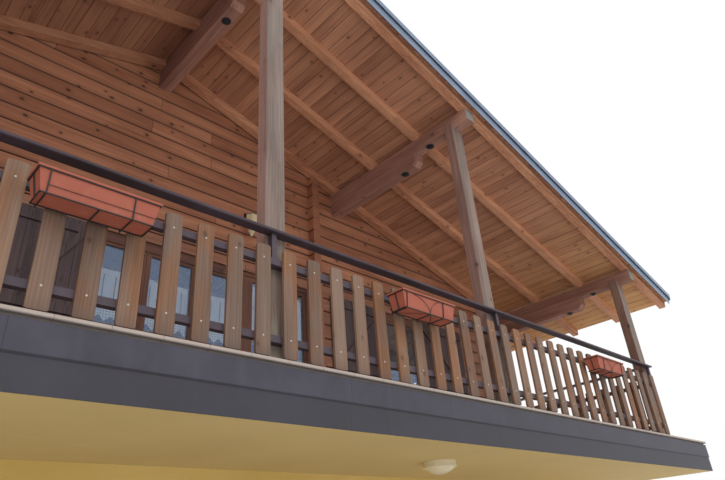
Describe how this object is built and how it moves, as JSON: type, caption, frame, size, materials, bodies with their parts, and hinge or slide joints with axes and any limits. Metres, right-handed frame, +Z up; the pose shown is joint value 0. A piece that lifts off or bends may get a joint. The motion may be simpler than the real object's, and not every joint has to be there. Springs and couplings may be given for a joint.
{
  "type": "alpine chalet",
  "caption": "Alpine chalet with a rendered ground floor, a wide front balcony with posts and flower boxes, and a log-built upper floor under one low gable roof.",
  "frame": {"origin": "on the ground, in the middle of the plan's bounding box", "axes": "+X to the right seen from the front, +Y from the balcony into the house, +Z up; the balcony front faces -Y"},
  "size_m": [15.912, 11.855, 7.6161],
  "materials": {
    "concrete": "rough",
    "render": "rough",
    "floor_tiles": "satin",
    "fascia_metal": "satin",
    "log_wood": "satin",
    "roof_wood": "satin",
    "purlin_wood": "satin",
    "post_wood": "matte",
    "dark_wood": "satin",
    "roof_metal": "satin",
    "flashing_metal": "satin",
    "rail_metal": "gloss",
    "terracotta": "matte",
    "soil": "rough",
    "wire": "satin",
    "glass": "gloss",
    "lantern_metal": "satin",
    "lamp_white": "gloss"
  },
  "bodies": {
    "root": {"ground_slab": "concrete", "ground_wall_front": "render", "ground_wall_back": "render", "ground_wall_left": "render", "ground_wall_right": "render", "ground_windows": "log_wood", "front_door": "dark_wood", "upper_slab": "concrete", "floor_finish": "floor_tiles", "fascia_front": "fascia_metal", "fascia_sides": "fascia_metal", "fascia_back": "fascia_metal", "log_wall_front": "log_wood", "log_wall_back": "log_wood", "log_wall_left": "log_wood", "log_wall_right": "log_wood", "log_ends": "log_wood", "purlins": "purlin_wood", "purlin_corbels": "purlin_wood", "rafters_left": "roof_wood", "rafters_right": "roof_wood", "eave_boards": "roof_wood", "roof_boards_left": "roof_wood", "roof_boards_right": "roof_wood", "roof_sheet_left": "roof_metal", "roof_sheet_right": "roof_metal", "verge_flashings_left": "flashing_metal", "verge_flashings_right": "flashing_metal", "eave_flashings": "flashing_metal", "ridge_cap": "flashing_metal", "balcony_posts": "post_wood", "handrails": "rail_metal", "rail_frames": "rail_metal", "pickets_front": "post_wood", "pickets_left": "post_wood", "pickets_right": "post_wood", "planters": "terracotta", "planter_soil": "soil", "planter_hangers": "wire", "upper_windows": "log_wood", "window_glass": "glass", "balcony_door": "log_wood", "shutters": "dark_wood", "wall_lantern": "lantern_metal", "soffit_lamps": "lamp_white"}
  },
  "joints": []
}
